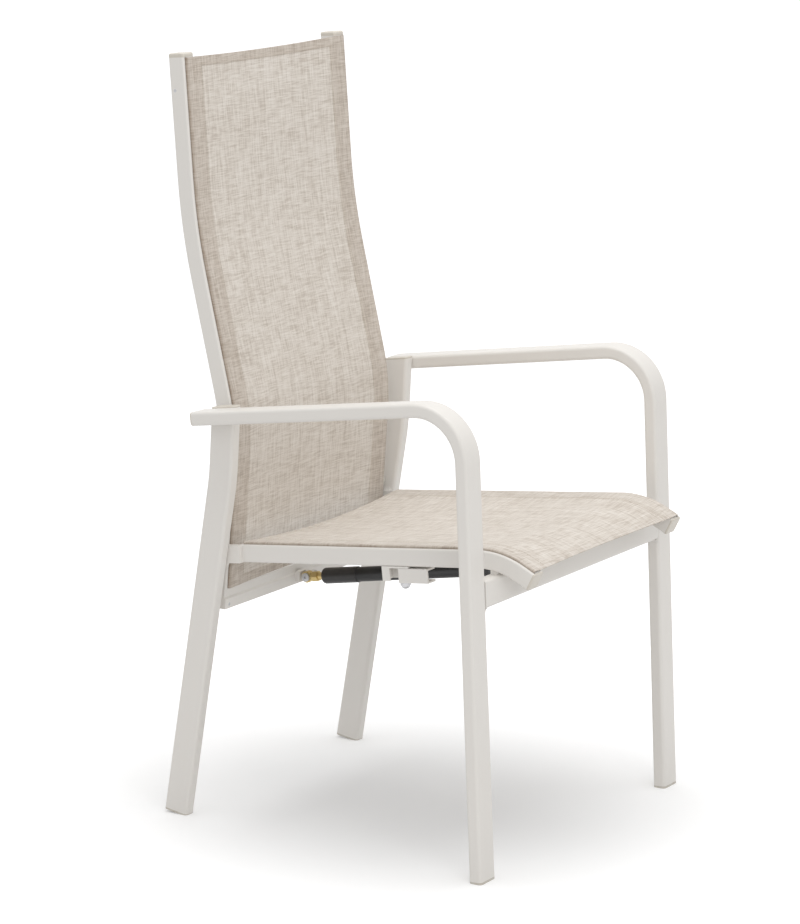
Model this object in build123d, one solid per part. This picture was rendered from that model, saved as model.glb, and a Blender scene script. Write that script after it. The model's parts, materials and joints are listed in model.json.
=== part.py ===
from build123d import *
import os
from math import cos, radians, sin, sqrt, tan

# Reclining garden armchair: powder-coated aluminium tube, two woven slings and a
# lockable gas spring that holds the back at any angle.
# Millimetres. The chair faces -Y and +Z is up. X runs across it, and the sitter's right
# side is -X. The floor is Z = 0 and the origin lies under the middle of the chair.

# Driving sizes of the whole chair
overall_width = 578
front_foot_y = -256.5
front_leg_lean_angle = 2.54
armrest_height = 633.4
armrest_slope_angle = 7.9
armrest_rear_y = 218.5
arm_bend_radius = 70
arm_toe_in = 7.4
arm_leg_play = 0.3
rear_foot_y = 285
rear_leg_lean_angle = 9.45
rear_leg_upper_lean_angle = 3.4
rear_bend_height = 514
rear_bend_radius = 400
rear_leg_blank_top = 645
seat_side_gap = 35
rail_height = 418.5
rail_slope_angle = 5.93
rail_rear_y = 180
rail_corner_y = -247.2
rail_nose_drop_angle = 26.6
rail_nose_run = 55.4
rail_bend_radius = 125
stile_leg_gap = 12.3

# Tube of the armrests, the legs and the front cross tube
tube_width = 40
tube_depth = 20
tube_wall = 2
tube_corner = 5
glide_depth = 3
glide_plug_length = 22
glide_rest_cut = 1.7
plug_play = 0.2
plug_depth = 2.5
plug_round = 1.6
top_plug_depth = 3
leg_top_rise = 1

# Edge extrusion of the seat rails and of the back stiles
edge_size = 26
edge_wall = 2
edge_corner = 3
channel_bore = 6.4
channel_wall = 1.6
channel_inset = 5
channel_depth = 6.2
channel_mouth = 2.8
keder_diameter = 5.4
rail_cap_depth = 3
rail_cap_round = 2
stile_cap_depth = 6
stile_cap_round = 2.8

# Slings
sling_thickness = 1.4
sling_lift = 0.25
seat_sag = 9
back_sag = 7
seat_front_hollow = 9
sling_end_margin = 1.5

# Back stile line, as distances behind the origin at named heights
stile_foot_y = 225.4
stile_foot_height = 341.9
stile_lumbar_y = 207.9
stile_lumbar_height = 588
stile_shoulder_y = 271.9
stile_shoulder_height = 862.3
stile_top_y = 289.8
stile_top_height = 1105.5
lumbar_radius = 300
shoulder_radius = 900

# Back frame cross members
crossbar_height = 30
crossbar_depth = 26
crossbar_wall = 2
crossbar_step = 2.5
crossbar_step_height = 12.5
crossbar_plug_depth = 3
crossbar_screw_inset = 11
crossbar_screw_drop = 9
spreader_drop = 47
spreader_depth = 12
spreader_tall = 25
spreader_wall = 1.6
spreader_corner = 2.5

# Front and rear cross tubes of the seat frame
front_tube_height = 402
rear_tube_y = 125
rear_tube_depth = 25
rear_tube_tall = 15
rear_tube_wall = 1.6
rear_tube_corner = 3
weld_radius = 6
weld_edge_margin = 2
saddle_width = 5
saddle_inset = 6

# Brackets that tie the rear ends of the rails to the rear legs
bracket_plate = 2
bracket_ear_reach = 32.5
bracket_ear_play = 3
bracket_round = 2

# Recline pivot
pivot_y = 222
pivot_height = 425
pivot_diameter = 8
pivot_play = 0.05
pivot_head_diameter = 14
pivot_head_depth = 4.4
pivot_socket = 5
pivot_socket_depth = 2.4
bush_wall = 1
bush_flange_diameter = 22
bush_flange_depth = 1.2
bush_play = 0.2
insert_diameter = 11
insert_length = 15
thread_engagement = 12

# Gas spring, measured from its rear eye along its axis
spring_x = -18
eye_y = 196.1
eye_height = 323.5
front_pin_y = -213.5
front_pin_height = 391.7
eye_diameter = 17
eye_width = 10
eye_shank_diameter = 9
lock_nut_size = 14
lock_nut_start = 9.5
lock_nut_length = 10
neck_diameter = 11
cylinder_start = 30
cylinder_end = 317
cylinder_diameter = 22
cylinder_wall = 1.8
cylinder_rounding = 4
cylinder_cap = 6
sleeve_length = 62
sleeve_wall = 1
sleeve_rounding = 5
gland_depth = 8
gland_lip = 3
gland_lip_inset = 2.5
rod_diameter = 8
rod_play = 0.05
piston_place = 296
piston_length = 8
head_diameter = 24
head_width = 16
head_collar_diameter = 16
head_collar_length = 12
open_pivot_play = 3.3
release_pin_diameter = 3
release_pin_length = 14.5
release_pin_travel = 2.5
release_pin_head = 7
release_pin_head_depth = 2
lug_near_x = -26
lug_base_depth = 7.5
lug_height = 16
lug_cheek_depth = 6
lug_play = 0.3
fork_thickness = 3
fork_play = 0.5
fork_height = 26
fork_nose = 9
fork_base_depth = 3
fastener_head_diameter = 13
fastener_head_depth = 3
fastener_socket = 4
fastener_socket_depth = 1.8
nut_size = 13
nut_depth = 6.5

# Release lever and its bracket under the right rail
lever_pivot_y = -87.5
lever_pivot_inset = 9
lever_front_reach = 43
lever_rear_reach = 7
lever_height = 20.5
lever_flange_width = 21
lever_thickness = 2.5
lever_corner = 1.2
lever_top_gap = 0.4
lever_stud_diameter = 8
lever_stud_play = 0.05
hanger_rear_reach = 32
hanger_channel_depth = 12
hanger_drop = 21
hanger_thickness = 2.5
hanger_front_reach = 12
dome_size = 13
dome_hex_depth = 4
dome_height = 9.3
dome_gap = 0.4

# Small screws of the back frame
screw_head_diameter = 5
screw_head_depth = 1.4
screw_shank_diameter = 3
screw_length = 12
screw_slot_width = 0.9
screw_slot_depth = 0.7

cut_overrun = 1

# Places that follow from the sizes
half_width = overall_width / 2
arm_x = half_width - tube_width / 2
side_face_x = half_width - tube_width
rear_leg_x = side_face_x - arm_toe_in - arm_leg_play - tube_depth / 2
leg_inner_x = rear_leg_x - tube_depth / 2
half_edge = edge_size / 2
half_seat = side_face_x - seat_side_gap
rail_x = half_seat - half_edge
half_back = leg_inner_x - stile_leg_gap
stile_x = half_back - half_edge
sides = {"right": -1, "left": 1}


def leaning(angle):
    """Unit vector that points up and leans rearwards by an angle in the side view."""
    return Vector(0, sin(radians(angle)), cos(radians(angle)))


def running(angle):
    """Unit vector that points forwards and climbs by an angle in the side view."""
    return Vector(0, -cos(radians(angle)), sin(radians(angle)))


def meet(point_a, dir_a, point_b, dir_b):
    """Point where two lines of the side view cross."""
    span = point_b - point_a
    turn = dir_a.Y * dir_b.Z - dir_a.Z * dir_b.Y
    return point_a + dir_a * ((span.Y * dir_b.Z - span.Z * dir_b.Y) / turn)


def across(point, x):
    """The same place of the side view, moved to another X."""
    return Vector(x, point.Y, point.Z)


front_leg_dir = leaning(front_leg_lean_angle)
armrest_dir = running(armrest_slope_angle)
armrest_up = Vector(0, armrest_dir.Z, -armrest_dir.Y)
rear_leg_dir = leaning(-rear_leg_lean_angle)
rear_upper_dir = leaning(-rear_leg_upper_lean_angle)
rail_dir = running(rail_slope_angle)
rail_up = Vector(0, rail_dir.Z, -rail_dir.Y)

front_foot = Vector(0, front_foot_y, 0)
armrest_middle = Vector(0, 0, armrest_height)
arm_corner_point = meet(front_foot, front_leg_dir, armrest_middle, armrest_dir)
armrest_end = armrest_middle + armrest_dir * (armrest_rear_y / armrest_dir.Y)
rear_foot = Vector(0, rear_foot_y, 0)
rear_bend = rear_foot + rear_leg_dir * (rear_bend_height / rear_leg_dir.Z)
rear_top = rear_bend + rear_upper_dir * ((rear_leg_blank_top - rear_bend_height) / rear_upper_dir.Z)
rail_middle = Vector(0, 0, rail_height)
rail_rear = rail_middle + rail_dir * (rail_rear_y / rail_dir.Y)
rail_corner = rail_middle + rail_dir * (rail_corner_y / rail_dir.Y)
rail_nose = rail_corner + running(-rail_nose_drop_angle) * rail_nose_run
stile_line = [
    Vector(0, stile_foot_y, stile_foot_height),
    Vector(0, stile_lumbar_y, stile_lumbar_height),
    Vector(0, stile_shoulder_y, stile_shoulder_height),
    Vector(0, stile_top_y, stile_top_height),
]
stile_radii = [lumbar_radius, shoulder_radius]
stile_foot_dir = (stile_line[1] - stile_line[0]).normalized()
rear_leg_front = Vector(0, -rear_leg_dir.Z, rear_leg_dir.Y)
leg_face_point = rear_foot + rear_leg_front * (tube_width / 2)
spring_eye = Vector(spring_x, eye_y, eye_height)
spring_front = Vector(spring_x, front_pin_y, front_pin_height)
spring_dir = (spring_front - spring_eye).normalized()
spring_length = (spring_front - spring_eye).length
pivot = Vector(0, pivot_y, pivot_height)


def save(name, shape):
    """Write one sub-part to its own file."""
    export_step(shape, "parts/" + name + ".step")


def group(*solids):
    """Separate solids that share one node."""
    return Compound(children=list(solids))


def path_frame(path):
    """Plane at the start of a path, with X across the chair."""
    return Plane(origin=path @ 0, x_dir=(1, 0, 0), z_dir=path % 0)


def carried(section, path):
    """Carry a flat section along a path."""
    return sweep(path_frame(path) * section, path=path)


def axis_frame(point, direction, x_dir=(1, 0, 0)):
    """Plane whose Z points along a direction."""
    return Plane(origin=point, x_dir=x_dir, z_dir=direction)


def cross_frame(point):
    """Plane whose Z points along +X, for pins and bores that run across the chair."""
    return Plane(origin=point, x_dir=(0, 1, 0), z_dir=(1, 0, 0))


def rod(diameter, length):
    """Round bar from the plane upwards."""
    return Cylinder(diameter / 2, length, align=(Align.CENTER, Align.CENTER, Align.MIN))


def hex_bar(size, length):
    """Hexagonal bar from the plane upwards, given across its flats."""
    return extrude(RegularPolygon(size / sqrt(3), 6), length)


def hollow_rectangle(width, depth, corner, wall):
    """Section of a rectangular tube with rounded corners."""
    outer = RectangleRounded(width, depth, corner)
    return outer - RectangleRounded(width - 2 * wall, depth - 2 * wall, corner - wall / 2)


def arm_path(side):
    """Centre line of an armrest and its front leg, from the foot to the rear end, which toes in."""
    start = front_foot + front_leg_dir * glide_depth
    points = [across(p, side * arm_x) for p in (start, arm_corner_point)]
    points.append(across(armrest_end, side * (arm_x - arm_toe_in)))
    return FilletPolyline(*points, radius=arm_bend_radius)


def arm_end_frame(side):
    """Plane across the rear end of an armrest, turned as the bent tube is."""
    path = arm_path(side)
    first, last = path % 0, path % 1
    normal = first.cross(last).normalized()
    level = Vector(1, 0, 0)
    x_dir = normal * level.dot(normal) + normal.cross(last) * level.dot(normal.cross(first))
    return Plane(origin=path @ 1, x_dir=x_dir, z_dir=last)


def arm_top_plane(rise):
    """Plane parallel to the top of the armrests, at a height above it."""
    return axis_frame(armrest_middle + armrest_up * (tube_depth / 2 + rise), armrest_up)


def rear_leg_path(x):
    """Centre line of a rear leg, from the foot to the top."""
    points = [across(p, x) for p in (rear_tube_start(), rear_bend, rear_top)]
    return FilletPolyline(*points, radius=rear_bend_radius)


def rear_tube_start():
    """Lower end of a rear leg's tube, a glide's depth above its square foot."""
    foot_drop = tube_width / 2 * -rear_leg_dir.Y - glide_rest_cut
    return rear_foot + rear_leg_dir * (foot_drop / rear_leg_dir.Z + glide_depth)


def rail_path(x, rear_margin=0, front_margin=0):
    """Centre line of a seat rail, from its rear end to the nose."""
    rear = rail_rear + rail_dir * -rear_margin
    nose = rail_nose - running(-rail_nose_drop_angle) * front_margin
    return FilletPolyline(*[across(p, x) for p in (rear, rail_corner, nose)], radius=rail_bend_radius)


def stile_path(x, foot_margin=0, top_margin=0):
    """Centre line of a back stile, from the lower crossbar to the top."""
    top_dir = (stile_line[3] - stile_line[2]).normalized()
    points = [stile_line[0] + stile_foot_dir * foot_margin, *stile_line[1:3]]
    points.append(stile_line[3] - top_dir * top_margin)
    return FilletPolyline(*[across(p, x) for p in points], radius=stile_radii)


def arm_leg_tube(side):
    """Armrest and front leg, one tube bent over a large radius."""
    return carried(hollow_rectangle(tube_width, tube_depth, tube_corner, tube_wall), arm_path(side))


def rear_leg(side):
    """Rear leg, a tube on edge with a slight bend above the seat, cut off in line with the armrest."""
    section = hollow_rectangle(tube_depth, tube_width, tube_corner, tube_wall)
    return leg_below(side, section, leg_top_rise - top_plug_depth)


def leg_below(side, section, rise):
    """A section carried up a rear leg and cut off at a height above the armrest's top."""
    bar = carried(section, rear_leg_path(side * rear_leg_x))
    return split(bar, bisect_by=arm_top_plane(rise), keep=Keep.BOTTOM)


def edge_section(side, face):
    """Hollow square with a round channel that opens through one face near its outer edge."""
    shell = hollow_rectangle(edge_size, edge_size, edge_corner, edge_wall)
    middle = Pos(side * (half_edge - channel_inset), face * (half_edge - channel_depth))
    outer_block = Circle(channel_bore / 2 + channel_wall)
    neck_width = channel_mouth + 2 * channel_wall
    neck = Pos(0, face * channel_depth / 2) * Rectangle(neck_width, channel_depth)
    mouth_depth = channel_depth + cut_overrun
    mouth = Pos(0, face * mouth_depth / 2) * Rectangle(channel_mouth, mouth_depth)
    return shell + middle * (outer_block + neck) - middle * (Circle(channel_bore / 2) + mouth)


def seat_rail(side):
    """Seat rail, bent down at its nose."""
    return carried(edge_section(side, 1), rail_path(side * rail_x))


def back_stile(side):
    """Back stile, the same extrusion with its channel to the front."""
    return carried(edge_section(side, -1), stile_path(side * stile_x))


def channel_offset(face):
    """Place of a keder channel in the plane across a rail or a stile."""
    return half_edge - channel_inset, face * (half_edge - channel_depth)


def keder_cords(path, face):
    """Two round cords that lock a sling into its channels."""
    inset, height = channel_offset(face)
    cords = []
    for side in (-1, 1):
        spot = Pos(side * (path.outer_x - half_edge + inset), height) * Circle(keder_diameter / 2)
        cords.append(sweep(path_frame(path.line) * spot, path=path.line))
    return group(*cords)


class SlingPath:
    """Centre line of a sling and the outer half width of the extrusions that hold it."""

    def __init__(self, line, outer_x):
        self.line = line
        self.outer_x = outer_x


def sling_section(outer_x, sag, face):
    """Sheet that comes out of both channels, lies over the edges and sags between them."""
    slot_x = outer_x - channel_inset
    inner_x = outer_x - edge_size
    low = half_edge + sling_lift
    high = low + sling_thickness
    lip = half_edge - channel_depth + keder_diameter / 2 + sling_lift
    half = sling_thickness / 2

    def p(x, y):
        return x, face * y

    outline = [
        Line(p(inner_x, low), p(slot_x - half, low)),
        Line(p(slot_x - half, low), p(slot_x - half, lip)),
        Line(p(slot_x - half, lip), p(slot_x + half, lip)),
        Line(p(slot_x + half, lip), p(slot_x + half, high)),
        Line(p(slot_x + half, high), p(inner_x, high)),
        ThreePointArc(p(inner_x, high), p(0, high - sag), p(-inner_x, high)),
        Line(p(-inner_x, high), p(-slot_x - half, high)),
        Line(p(-slot_x - half, high), p(-slot_x - half, lip)),
        Line(p(-slot_x - half, lip), p(-slot_x + half, lip)),
        Line(p(-slot_x + half, lip), p(-slot_x + half, low)),
        Line(p(-slot_x + half, low), p(-inner_x, low)),
        ThreePointArc(p(-inner_x, low), p(0, low - sag), p(inner_x, low)),
    ]
    return make_face(Wire(outline))


def hollow_radius(half_span, depth):
    """Radius of an arc from its half span and its depth."""
    return (half_span ** 2 + depth ** 2) / (2 * depth)


def seat_path():
    """Line of the seat sling, from its rear edge to the nose of the rails."""
    return SlingPath(rail_path(0, rear_margin=-sling_end_margin, front_margin=sling_end_margin), half_seat)


def back_path():
    """Line of the back sling, from the crossbar to the top."""
    return SlingPath(stile_path(0, foot_margin=sling_end_margin, top_margin=sling_end_margin / 2), half_back)


def seat_sling():
    """Seat sling with its front edge cut in a shallow hollow."""
    path = seat_path()
    sheet = sweep(path_frame(path.line) * sling_section(path.outer_x, seat_sag, 1), path=path.line)
    radius = hollow_radius(half_seat - edge_size, seat_front_hollow)
    front = (path.line @ 1).Y
    cutter = Pos(0, front - half_edge * rail_up.Y + seat_front_hollow - radius, rail_height)
    reach = 2 * edge_size
    bite = Cylinder(radius, 2 * reach) & Box(2 * (half_seat - edge_size), 4 * radius, 4 * reach)
    return sheet - cutter * bite


def back_sling():
    """Back sling, from the lower crossbar to just under the caps."""
    path = back_path()
    return sweep(path_frame(path.line) * sling_section(path.outer_x, back_sag, -1), path=path.line)


def front_tube_frame():
    """Plane across the front cross tube, square to the front legs."""
    middle = front_foot + front_leg_dir * (front_tube_height / front_leg_dir.Z)
    return Plane(origin=middle, x_dir=(0, front_leg_dir.Z, -front_leg_dir.Y), z_dir=(1, 0, 0))


def front_cross_tube():
    """Tube between the front legs."""
    section = front_tube_frame() * hollow_rectangle(tube_depth, tube_width, tube_corner, tube_wall)
    return extrude(section, side_face_x, both=True)


def rear_tube_frame():
    """Plane across the rear cross tube, level with the underside of the rails."""
    middle = rail_middle + rail_dir * (rear_tube_y / rail_dir.Y) - rail_up * (half_edge - rear_tube_tall / 2)
    return Plane(origin=middle, x_dir=-rail_dir, z_dir=(-1, 0, 0))


def rear_cross_tube():
    """Flat tube between the seat rails, well below the sling."""
    section = hollow_rectangle(rear_tube_depth, rear_tube_tall, rear_tube_corner, rear_tube_wall)
    return extrude(rear_tube_frame() * section, half_seat - edge_size, both=True)


def weld_bead(corner, dir_a, dir_b, half_length):
    """Hollow fillet of weld in the corner between two faces."""
    lean = dir_a + dir_b
    half_angle = radians(dir_a.get_angle(dir_b)) / 2
    reach = weld_radius / tan(half_angle)
    middle = corner + lean.normalized() * (weld_radius / sin(half_angle) - weld_radius)
    outline = Wire([
        Line(corner, corner + dir_a * reach),
        ThreePointArc(corner + dir_a * reach, middle, corner + dir_b * reach),
        Line(corner + dir_b * reach, corner),
    ])
    return extrude(make_face(outline), half_length, dir=dir_a.cross(dir_b).normalized(), both=True)


def rail_saddle(side):
    """Weld that fills the gap between the front cross tube and the underside of a rail."""
    frame = front_tube_frame()
    tube_top = frame.origin + front_leg_dir * (tube_width / 2)
    saddle_x = half_seat - saddle_inset
    block = Plane(origin=across(tube_top, side * saddle_x), x_dir=(1, 0, 0), z_dir=front_leg_dir)
    upward = (Align.CENTER, Align.CENTER, Align.MIN)
    filling = Box(saddle_width, tube_depth - 2 * tube_corner, half_edge, align=upward)
    return block * filling - carried(Rectangle(edge_size, edge_size), rail_path(side * rail_x))


def frame_welds():
    """Beads at the rear brackets and under the cross tube, and the saddles under the rails."""
    beads = []
    leg_half = tube_depth / 2 - weld_edge_margin
    face_point = meet(rail_middle, rail_dir, leg_face_point, rear_leg_dir)
    ear_end = rail_rear - rail_dir * bracket_ear_reach
    ear_half = (ear_end.Y - face_point.Y) / 2 - weld_edge_margin
    ear_middle = (face_point + ear_end) * 0.5
    tube_low = front_tube_frame().origin - front_leg_dir * (tube_width / 2)
    for side in (-1, 1):
        inward = Vector(-side, 0, 0)
        for way in (rail_up, rail_up * -1):
            corner = across(ear_middle + way * half_edge, side * leg_inner_x)
            beads.append(weld_bead(corner, inward, way, ear_half))
        beads.append(weld_bead(across(tube_low, side * side_face_x), inward, front_leg_dir * -1, leg_half))
        beads.append(rail_saddle(side))
    return group(*beads)


def rail_frame(y, x, height=0):
    """Plane on the line of a rail: X to the left, Y to the rear along the rail, Z up from its middle."""
    point = rail_middle + rail_dir * (y / rail_dir.Y) + rail_up * height
    return Plane(origin=across(point, x), x_dir=(1, 0, 0), z_dir=rail_up)


def rear_bracket(side):
    """Angle behind the end of a rail, whose ear is welded to the inner face of the rear leg."""
    inner = half_seat - edge_size
    plate = low_box(inner, leg_inner_x, 0, bracket_plate, -half_edge, half_edge)
    ear = low_box(half_back + bracket_ear_play, leg_inner_x, 0, bracket_ear_reach, -half_edge, half_edge)
    angle = plate + ear
    angle = fillet(angle.edges().filter_by(Axis.X).sort_by(Axis.Y)[-2:], bracket_round)
    angle = rail_frame(rail_rear_y, 0) * angle
    return angle if side > 0 else mirror(angle, about=Plane.YZ)


def plug(width, depth, corner, wall, length, cap, rounding):
    """Plastic plug: a cap of the tube's own outline over a body that fits inside it."""
    lid = extrude(RectangleRounded(width, depth, corner), cap)
    lid = fillet(lid.faces().sort_by(Axis.Z)[-1].edges(), rounding)
    inner = corner - wall / 2
    body = RectangleRounded(width - 2 * wall - 2 * plug_play, depth - 2 * wall - 2 * plug_play, inner)
    return lid + extrude(body, -length)


def armrest_plug(side):
    """Plug in the rear end of an armrest."""
    shape = plug(tube_width, tube_depth, tube_corner, tube_wall, glide_plug_length, plug_depth, plug_round)
    return arm_end_frame(side) * shape


def leg_top_plug(side):
    """Plug in the top of a rear leg, level with the armrest."""
    tube_end = leg_top_rise - top_plug_depth
    lid = leg_below(side, RectangleRounded(tube_depth, tube_width, tube_corner), leg_top_rise)
    lid = split(lid, bisect_by=arm_top_plane(tube_end), keep=Keep.TOP)
    top = lid.faces().sort_by(Axis((0, 0, 0), armrest_up))[-1]
    lid = fillet(top.edges(), plug_round)
    inset = 2 * (tube_wall + plug_play)
    inner = RectangleRounded(tube_depth - inset, tube_width - inset, tube_corner - tube_wall / 2)
    body = leg_below(side, inner, tube_end)
    return lid + split(body, bisect_by=arm_top_plane(tube_end - glide_plug_length), keep=Keep.TOP)


def above_floor(shape):
    """Keep what is above the floor, so a glide rests on a flat."""
    return split(shape, bisect_by=Plane.XY, keep=Keep.TOP)


def front_glide(side):
    """Glide in the foot of a front leg."""
    shape = plug(tube_width, tube_depth, tube_corner, tube_wall, glide_plug_length,
                 glide_depth + plug_depth, plug_round / 2)
    start = arm_path(side) @ 0
    return above_floor(axis_frame(start, front_leg_dir * -1) * shape)


def rear_glide(side):
    """Glide in the foot of a rear leg, square to the leg with a flat to stand on."""
    shape = plug(tube_depth, tube_width, tube_corner, tube_wall, glide_plug_length,
                 glide_depth, plug_round / 2)
    start = across(rear_tube_start(), side * rear_leg_x)
    return above_floor(axis_frame(start, rear_leg_dir * -1) * shape)


def rail_cap(side):
    """Cap over the nose of a seat rail."""
    lid = extrude(RectangleRounded(edge_size, edge_size, edge_corner), rail_cap_depth)
    lid = fillet(lid.faces().sort_by(Axis.Z)[-1].edges(), rail_cap_round)
    return axis_frame(across(rail_nose, side * rail_x), running(-rail_nose_drop_angle)) * lid


def stile_cap(side):
    """Rounded cap on the top of a back stile."""
    lid = extrude(RectangleRounded(edge_size, edge_size, edge_corner), stile_cap_depth)
    lid = fillet(lid.faces().sort_by(Axis.Z)[-1].edges(), stile_cap_round)
    top_dir = (stile_line[3] - stile_line[2]).normalized()
    return axis_frame(across(stile_line[3], side * stile_x), top_dir) * lid


def crossbar_middle():
    """Middle of the lower crossbar, under the feet of the stiles."""
    return stile_line[0] - stile_foot_dir * (crossbar_height / 2)


def crossbar_frame(x=0):
    """Plane across the lower crossbar, X to the rear and Y up along the stiles."""
    rearward = Vector(0, stile_foot_dir.Z, -stile_foot_dir.Y)
    return Plane(origin=across(crossbar_middle(), x), x_dir=rearward, z_dir=(1, 0, 0))


def crossbar_outline(inset=0):
    """Outline of the crossbar, whose upper front is stepped back under the sling."""
    front = -crossbar_depth / 2 + inset
    rear = crossbar_depth / 2 - inset
    top = crossbar_height / 2 - inset
    step = crossbar_height / 2 - crossbar_step_height - inset
    corners = [(front, -top), (rear, -top), (rear, top), (front + crossbar_step, top),
               (front + crossbar_step, step), (front, step - crossbar_step)]
    return Polyline(*corners, close=True)


def lower_crossbar():
    """Stepped box section across the foot of the back."""
    solid = crossbar_frame() * make_face(crossbar_outline())
    bore = crossbar_frame() * make_face(crossbar_outline(crossbar_wall))
    length = half_back - crossbar_plug_depth
    bar = extrude(solid, length, both=True) - extrude(bore, half_back, both=True)
    for side in (-1, 1):
        bar -= crossbar_screw_frame(side) * rod(screw_shank_diameter, crossbar_depth / 2)
        bar -= crossbar_screw_frame(side) * rod(screw_head_diameter, screw_head_depth)
    return bar


def crossbar_plug(side):
    """Closing plate on an end of the crossbar."""
    face = crossbar_frame(side * (half_back - crossbar_plug_depth)) * make_face(crossbar_outline())
    return extrude(face, crossbar_plug_depth, dir=(side, 0, 0))


def crossbar_screw_frame(side):
    """Plane on the crossbar's lower front, Z pointing into the bar."""
    middle = crossbar_middle()
    rearward = crossbar_frame().x_dir
    spot = middle - rearward * (crossbar_depth / 2) - stile_foot_dir * crossbar_screw_drop
    return axis_frame(across(spot, side * (half_back - crossbar_screw_inset)), rearward)


def small_screw():
    """Flush slotted screw, its head's face on the plane and its shank along Z."""
    screw = rod(screw_head_diameter, screw_head_depth) + rod(screw_shank_diameter, screw_length)
    return screw - Box(screw_head_diameter, screw_slot_width, 2 * screw_slot_depth)


def crossbar_screws():
    """Screws that hold the crossbar's end plates."""
    return group(*[crossbar_screw_frame(side) * small_screw() for side in (-1, 1)])


def spreader_middle():
    """Middle of the hidden spreader bar, near the rear faces of the stiles."""
    low, high = stile_line[2], stile_line[3]
    part_way = (high.Z - spreader_drop - low.Z) / (high.Z - low.Z)
    return low + (high - low) * part_way + Vector(0, half_edge - spreader_depth / 2 - edge_wall, 0)


def spreader_bar():
    """Flat tube that holds the stiles apart behind the sling."""
    section = hollow_rectangle(spreader_depth, spreader_tall, spreader_corner, spreader_wall)
    frame = Plane(origin=spreader_middle(), x_dir=(0, 1, 0), z_dir=(1, 0, 0))
    return extrude(frame * section, stile_x - half_edge, both=True)


def spreader_screw_frame(side):
    """Plane on a stile's outer face, Z pointing inwards."""
    return axis_frame(across(spreader_middle(), side * half_back), (-side, 0, 0), (0, 1, 0))


def spreader_screws():
    """Screws through the stiles into the spreader bar."""
    return group(*[spreader_screw_frame(side) * small_screw() for side in (-1, 1)])


def drilled_stile(side):
    """Back stile with its pivot bore and its screw hole."""
    stile = back_stile(side)
    bore = pivot_diameter + 2 * (pivot_play + bush_wall + bush_play)
    stile -= cross_frame(across(pivot, side * stile_x - half_edge)) * rod(bore, edge_size)
    stile -= spreader_screw_frame(side) * rod(screw_shank_diameter, edge_size + cut_overrun)
    return stile - spreader_screw_frame(side) * rod(screw_head_diameter, screw_head_depth)


def pivot_frame(side, x):
    """Plane at the pivot whose Z points outwards."""
    return axis_frame(across(pivot, side * x), (side, 0, 0), (0, 1, 0))


def pivot_bush(side):
    """Nylon bush that lines the stile and spaces it from the leg."""
    bore = pivot_diameter + 2 * pivot_play
    inner_x = half_back - edge_size
    outer_x = leg_inner_x - bush_play
    tube = pivot_frame(side, inner_x) * rod(bore + 2 * bush_wall, outer_x - inner_x)
    outer_start = half_back + bush_play
    inner_start = inner_x - bush_flange_depth
    flange = pivot_frame(side, outer_start) * rod(bush_flange_diameter, outer_x - outer_start)
    inner_flange = pivot_frame(side, inner_start) * rod(bush_flange_diameter, bush_flange_depth)
    hole = pivot_frame(side, inner_start) * rod(bore, side_face_x)
    return tube + flange + inner_flange - hole


def pivot_bolt(side):
    """Shoulder bolt through the stile, screwed into the leg's insert."""
    head_x = half_back - edge_size - bush_flange_depth - bush_play
    reach = leg_inner_x + thread_engagement - head_x
    bolt = pivot_frame(side, head_x) * rod(pivot_diameter, reach)
    head = pivot_frame(side, head_x - pivot_head_depth) * rod(pivot_head_diameter, pivot_head_depth)
    socket = pivot_frame(side, head_x - pivot_head_depth) * hex_bar(pivot_socket, pivot_socket_depth)
    return bolt + head - socket


def leg_insert(side):
    """Threaded insert in the inner wall of a rear leg."""
    body = pivot_frame(side, leg_inner_x) * rod(insert_diameter, insert_length)
    return body - pivot_frame(side, leg_inner_x) * rod(pivot_diameter, insert_length)


def drilled_rear_leg(side):
    """Rear leg with the hole for its insert."""
    return rear_leg(side) - pivot_frame(side, leg_inner_x) * rod(insert_diameter, insert_length)


def spring_frame(distance=0):
    """Plane at a distance along the gas spring, Z pointing to its front."""
    return axis_frame(spring_eye + spring_dir * distance, spring_dir)


def spring_bore(point, diameter, width):
    """Bore across the spring's plane."""
    return cross_frame(point - Vector(width / 2, 0, 0)) * rod(diameter, width)


def eye_fitting():
    """Rear eye with its shank and neck."""
    eye = cross_frame(spring_eye - Vector(eye_width / 2, 0, 0)) * rod(eye_diameter, eye_width)
    shank = spring_frame() * rod(eye_shank_diameter, lock_nut_start)
    neck = spring_frame(lock_nut_start) * rod(neck_diameter, cylinder_start - lock_nut_start)
    hole = spring_bore(spring_eye, pivot_diameter + 2 * rod_play, eye_width + 2 * cut_overrun)
    return eye + shank + neck - hole


def lock_nut():
    """Nut on the neck of the eye."""
    bar = spring_frame(lock_nut_start) * hex_bar(lock_nut_size, lock_nut_length)
    bar = chamfer(bar.edges().filter_by(GeomType.LINE).group_by(SortBy.LENGTH)[0], plug_play)
    return bar - spring_frame(lock_nut_start) * rod(neck_diameter, lock_nut_length)


def spring_cylinder():
    """Pressure tube, closed at the eye and open at the gland."""
    body = rod(cylinder_diameter, cylinder_end - cylinder_start)
    body = fillet(body.edges().group_by(Axis.Z)[0], cylinder_rounding)
    bore = Pos(0, 0, cylinder_cap) * rod(cylinder_diameter - 2 * cylinder_wall, cylinder_end)
    return spring_frame(cylinder_start) * (body - bore)


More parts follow.
